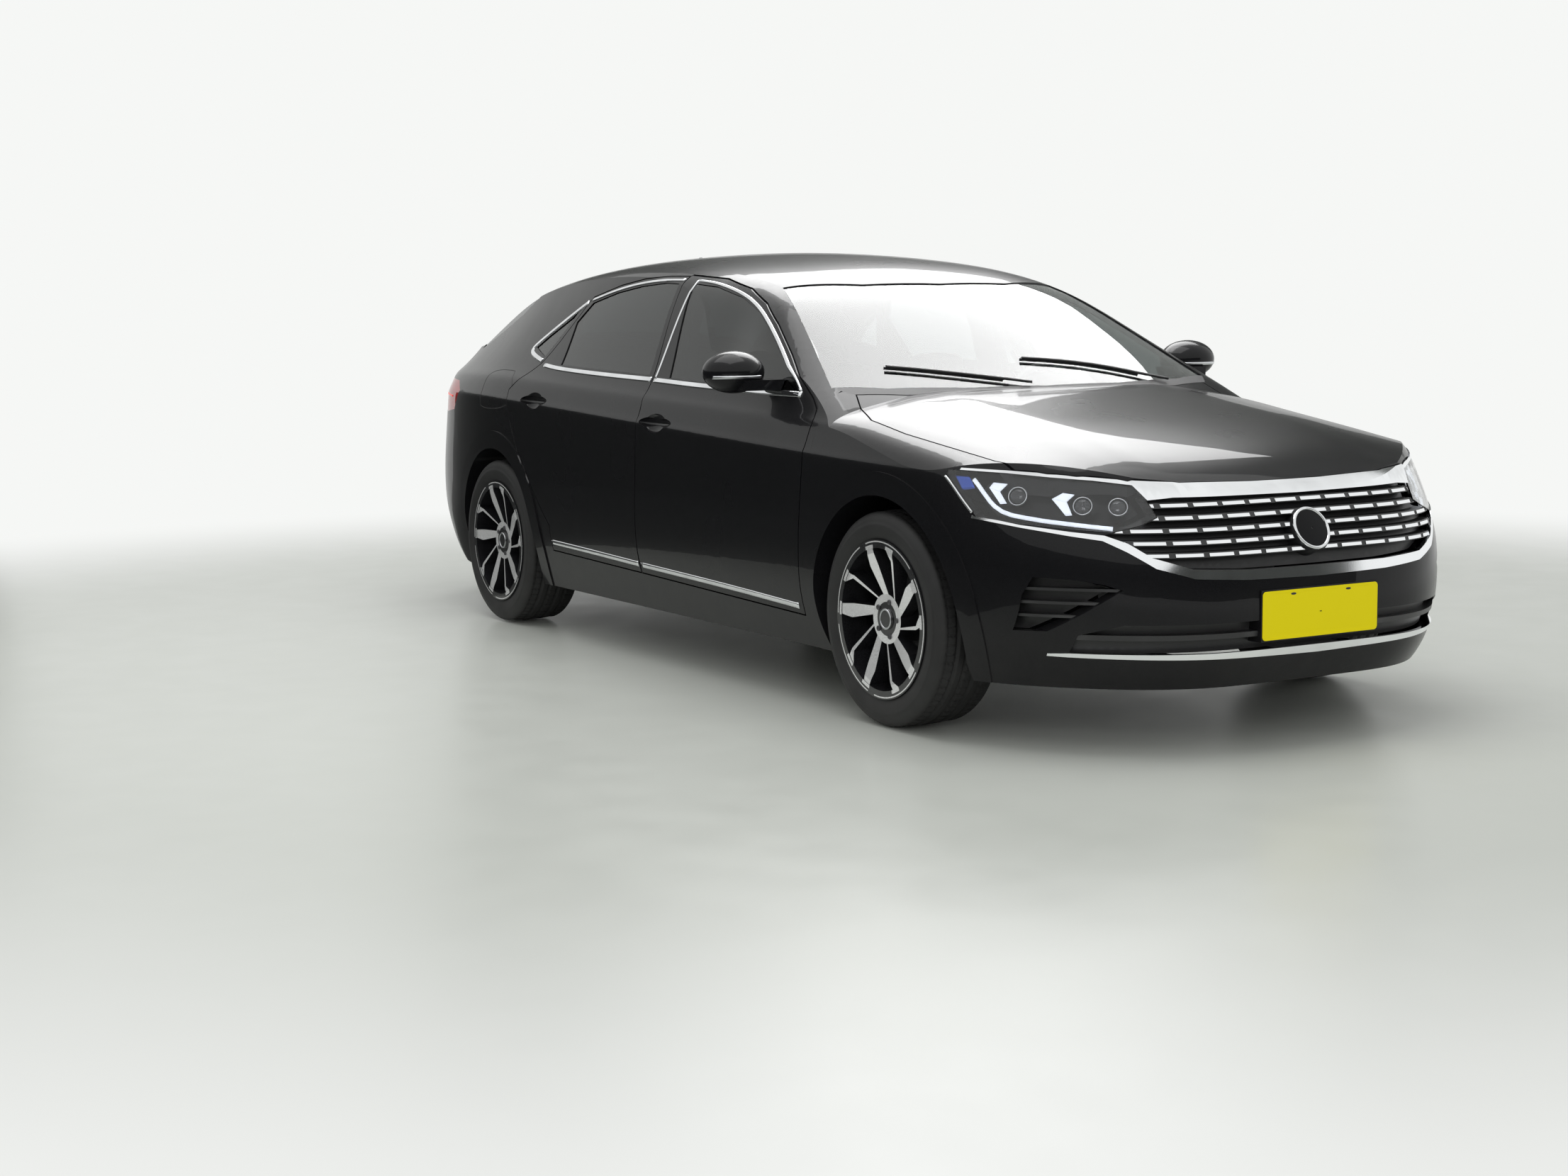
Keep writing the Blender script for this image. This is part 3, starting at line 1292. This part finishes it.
@dataclass(frozen=True)
class Cushion:
    """One padded piece of a seat, in its own frame: x forward, y across, z out of its face."""

    name: str
    length: float
    width: float
    depth: float
    bolster: float
    crown: float
    seams: tuple[float, ...]
    channels: tuple[float, ...]
    voxel: float
    cap: float = 0.024
    swell: float = 0.012
    groove: float = 0.006

    def form(self) -> Mesh:
        """Rounded box, a little smaller than the finished cushion, with raised side bolsters.

        Rise = bolster * |1.15 y| ** 4 on the face, and the sides pull in towards the middle.
        """
        half = np.array([self.length, self.width, self.depth]) / 2 - self.swell
        points, quads = pillow(48, 64, half, 0.42)
        share = points / half
        points[:, 1] *= 1 - 0.035 * (1 - np.clip(np.abs(share[:, 0]), 0, 1) ** 2)
        face = np.clip(share[:, 2], 0, 1)
        points[:, 2] += face * self.bolster * np.clip(np.abs(share[:, 1]) * 1.15, 0, 1) ** 4
        points[:, 2] += face * self.crown * (1 - share[:, 0] ** 2)
        return points, quads

    def padded(self) -> Mesh:
        """Swells the form as cloth under pressure, keeps each move under the cap, and subdivides once."""
        shape = mesh_object(self.name + "_form", self.form())
        remesh = shape.modifiers.new("remesh", "REMESH")
        remesh.mode, remesh.voxel_size = "VOXEL", self.voxel
        shape = self.simulated(shape)
        smooth = shape.modifiers.new("smooth", "SMOOTH")
        smooth.iterations, smooth.factor = 3, 0.5
        finer = shape.modifiers.new("finer", "SUBSURF")
        finer.levels = finer.render_levels = 1
        final = settled(shape)
        bpy.data.objects.remove(shape)
        return read(final.vertices, "co", 3), read(final.loops, "vertex_index", 1, np.int64).reshape(-1, 4)

    def simulated(self, shape: bpy.types.Object) -> bpy.types.Object:
        """Runs the cloth on a remeshed copy and caps how far each point has moved."""
        scene = bpy.context.scene
        start = settled(shape)
        bpy.data.objects.remove(shape)
        cloth = new_object(self.name + "_cloth", start)
        before = read(start.vertices, "co", 3)
        settings = cloth.modifiers.new("cloth", "CLOTH").settings
        settings.quality = 4
        settings.use_pressure, settings.uniform_pressure_force = True, 4.0
        settings.effector_weights.gravity = 0.0
        settings.tension_stiffness = settings.compression_stiffness = 12.0
        for step in range(1, 21):
            scene.frame_set(step)
        swollen = settled(cloth)
        scene.frame_set(1)
        bpy.data.objects.remove(cloth)
        move = read(swollen.vertices, "co", 3) - before
        reach = np.linalg.norm(move, axis=1)[:, None] + 1e-9
        swollen.vertices.foreach_set("co", (before + move * np.minimum(1.0, self.cap / reach)).ravel())
        return new_object(self.name + "_padded", swollen)

    def sewn(self) -> Mesh:
        """Cuts seams along and channels across the face: depth * exp(-(distance / groove) ** 2)."""
        points, quads = self.padded()
        share_x, share_y = points[:, 0] / (self.length / 2), points[:, 1] / (self.width / 2)
        face = np.clip(points[:, 2] / (self.depth / 2), 0, 1)
        drop = np.zeros(len(points))
        for seam in self.seams:
            drop += 0.010 * np.exp(-((share_y - seam) * self.width / 2 / self.groove) ** 2)
        between = np.abs(share_y) < max([abs(seam) for seam in self.seams] + [0.01])
        for channel in self.channels:
            drop += between * 0.007 * np.exp(-((share_x - channel) * self.length / 2 / self.groove) ** 2)
        points[:, 2] -= drop * face * (np.abs(share_x) < 0.93)
        return points, quads


def set_down(mesh: Mesh, middle: Sequence[float], tilt: float) -> Mesh:
    """Turns a cushion about Y by tilt, which leans its face back, and moves it to its middle."""
    ahead, across, out = mesh[0].T
    x = ahead * math.cos(tilt) + out * math.sin(tilt)
    z = -ahead * math.sin(tilt) + out * math.cos(tilt)
    return np.stack([x + middle[0], across + middle[1], z + middle[2]], axis=-1), mesh[1]


@dataclass(frozen=True)
class SeatRow:
    """One row of seats as separate padded cushions with seams, and head rests on posts."""

    word: str
    node: str
    front: float
    wide: float
    bolster: float
    voxel: float
    seams: tuple[float, ...]
    sides: tuple[Optional[Side], ...]
    heads: tuple[float, ...]
    place: float = 0.370
    level: float = 0.320
    lean: float = math.atan2(0.21, 0.51)

    def head(self, name: str, x: float, y: float) -> None:
        """Head rest on two bright posts."""
        rest = Cushion(name, 0.150, 0.250, 0.085, 0.006, 0.008, (), (0.0,), 0.009, 0.012, 0.008)
        placed = set_down(rest.sewn(), (x, y, self.level + 0.69), -(math.pi / 2 - self.lean * 0.6))
        piece = make_piece(name, placed, "seat", "car_body")
        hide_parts(self.node)
        posts = []
        for across in (-0.055, 0.055):
            path = np.array([(x - 0.004, y + across, self.level + 0.665), (x + 0.006, y + across, self.level + 0.56)])
            posts.append(sweep(path, np.array([(1.0, 0, 0)] * 2), circle(12, 0.006)))
        make_piece(name + "_posts", join(posts), "chrome", "car_body")

    def build(self) -> None:
        """Makes cushion and back once each, sets them down on each side, and adds the head rests."""
        kinds = ((("_cushion", 0.50, self.wide, 0.140), 0.014, (-0.5, 0.0, 0.5), (-0.255, 0.078), 0.03),
                 (("_back", 0.60, self.wide * 0.985, 0.118), 0.012, (-0.45, -0.1, 0.25), (-0.5905, 0.345),
                  -(math.pi / 2 - self.lean)))
        for (kind, *sizes), crown, channels, (behind, over), tilt in kinds:
            cushion = Cushion(self.word + kind, *sizes, self.bolster, crown, self.seams, channels, self.voxel)
            mesh = cushion.sewn()
            for side in self.sides:
                across = 0.0 if side is None else side.value * self.place
                name = cushion.name + ("" if side is None else f"_{side.word}")
                placed = set_down(mesh, (self.front + behind, across, self.level + over), tilt)
                piece = make_piece(name, placed, "seat", "car_body")
                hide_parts(self.node)
        for across in self.heads:
            self.head(f"{self.word}_head_{round(across * 100) + 50}", self.front - 0.70, across)


SEAT_ROWS = (
    SeatRow("seat", "front_seats", 0.6628, 0.50, 0.032, 0.0115, (-0.58, 0.58), tuple(Side), (-0.370, 0.370)),
    SeatRow("bench", "rear_seat", -0.3047, 1.34, 0.012, 0.014, (-0.62, -0.36, 0.0, 0.36, 0.62), (None,),
            (-0.42, 0.0, 0.42)),
)


# Studio


@dataclass(frozen=True)
class PhotoView:
    """Where the photograph was taken from: place, direction, roll and focal length in pixels of the full image."""

    place: Place = (7.4346, -4.7078, 1.2959)
    yaw: float = 2.61
    pitch: float = -0.123
    roll: float = -0.011
    focal: float = 3310.04
    width: float = 2212.0
    sensor: float = 36.0

    def build(self) -> None:
        """Makes the camera and sets it."""
        flat = math.cos(self.pitch)
        ahead = Vector((flat * math.cos(self.yaw), flat * math.sin(self.yaw), math.sin(self.pitch)))
        level = ahead.cross(Vector((0, 0, 1))).normalized()
        above = level.cross(ahead)
        right = level * math.cos(self.roll) + above * math.sin(self.roll)
        up = above * math.cos(self.roll) - level * math.sin(self.roll)
        camera = new_object("photo_camera", bpy.data.cameras.new("photo_camera"))
        rows = [[right[i], up[i], -ahead[i], self.place[i]] for i in range(3)]
        camera.matrix_world = Matrix([*rows, [0, 0, 0, 1]])
        camera.data.sensor_width = self.sensor
        camera.data.lens = self.focal / self.width * self.sensor
        camera.data.clip_end = 200
        bpy.context.scene.camera = camera


@dataclass(frozen=True)
class SoftBox:
    """An area lamp: where it is, what it faces, its size and its brightness as seen in a mirror."""

    name: str
    place: Place
    aim: Place
    wide: float
    tall: float
    bright: float
    only_mirrored: bool = False
    never_mirrored: bool = False

    def build(self) -> None:
        """Makes the lamp. Power = brightness * pi * area; some lamps show in glossy surfaces only."""
        light = bpy.data.lights.new(self.name, "AREA")
        light.shape, light.size, light.size_y = "RECTANGLE", self.wide, self.tall
        light.energy = self.bright * math.pi * self.wide * self.tall
        lamp = new_object(self.name, light)
        turn = (Vector(self.aim) - Vector(self.place)).to_track_quat("-Z", "Y").to_matrix().to_4x4()
        lamp.matrix_world = Matrix.Translation(self.place) @ turn
        lamp.visible_camera = False
        if self.only_mirrored:
            lamp.visible_diffuse = lamp.visible_transmission = lamp.visible_volume_scatter = False
        if self.never_mirrored:
            lamp.visible_glossy = False


@dataclass(frozen=True)
class Studio:
    """Pale floor that fades into a pale surround, soft boxes overhead and dark flags beside the car.

    Each flag is its name, two ends of its section as reach and rise, the angles it spans, its steps and finish.
    """

    reach: float = 40.0
    cells: int = 33
    surround: Colour = (0.92, 0.93, 0.915)
    world_light: float = 0.70
    flags = (
        ("side_flag", [(9.0, 0.004), (9.0, 2.3)], (-172.0, 35.0), 61, "flag"),
        ("floor_flag", [(2.4, 0.004), (9.0, 0.004)], (-172.0, -48.0), 41, "flag"),
        ("far_flag", [(12.0, 2.7), (12.0, 11.5)], (105.0, 167.0), 31, "grey_flag"),
    )
    boxes = (
        SoftBox("ceiling_box", (0.4, -0.6, 5.6), (0.2, 0.0, 0.5), 5.0, 4.0, 2.6),
        SoftBox("roof_box", (-0.92, 1.12, 2.7), (-0.92, 1.12, 0.0), 2.55, 2.65, 6.5, True),
        SoftBox("front_fill", (9.0, -5.5, 3.4), (0.8, 0.0, 0.6), 4.0, 3.0, 3.4, False, True),
    )

    def stage(self, name: str, points: Array, rows: int, columns: int, finish: str) -> bpy.types.Object:
        """Makes a sheet of the studio, which isn't part of the car."""
        obj = mesh_object(name, inside_out((points, grid_faces(rows, columns, False, False))), finish)
        return obj

    def build(self) -> None:
        """Makes the floor, the flags, the world and the lamps; only mirror rays see a flag."""
        steps = np.linspace(-self.reach, self.reach, self.cells)
        x, y = np.meshgrid(steps, steps, indexing="ij")
        floor = np.stack([x, y, np.full_like(x, -0.0005)], axis=-1)
        self.stage("studio_floor", floor, self.cells, self.cells, "floor")
        for name, section, span, count, finish in self.flags:
            turn = np.radians(np.linspace(*span, count))
            points = np.array([[(reach * np.cos(t), reach * np.sin(t), rise) for t in turn]
                               for reach, rise in section])
            panel = self.stage(name, points, 2, count, finish)
            panel.visible_camera = panel.visible_diffuse = panel.visible_shadow = panel.visible_transmission = False
        world = bpy.data.worlds.new("studio")
        bpy.context.scene.world = world
        world.use_nodes = True
        graph = Graph(world.node_tree)
        back = graph.tree.nodes["Background"]
        graph.feed(back.inputs["Color"], self.surround)
        graph.feed(back.inputs["Strength"], graph.seen() * (1.0 - self.world_light) + self.world_light)
        for box in self.boxes:
            box.build()


def main() -> None:
    """Builds the car's pieces and the studio."""
    PhotoView().build()
    dress_frame()
    for place in ("front", "rear"):
        for side in Side:
            Tyre(place, side).build()
            WheelDetail(place, side).build()
    for part in (*FLANK_STRIPS, Headlamp(), FuelFlap(), RearDress(), Roundel(), Plate(), Wipers(), RoofFin(),
                 MirrorDetail(), *SEAT_ROWS, Studio()):
        part.build()
    scene = bpy.context.scene
    scene.view_settings.view_transform = "Standard"
    log.info("boxes written")


if __name__ == "__main__":
    main()
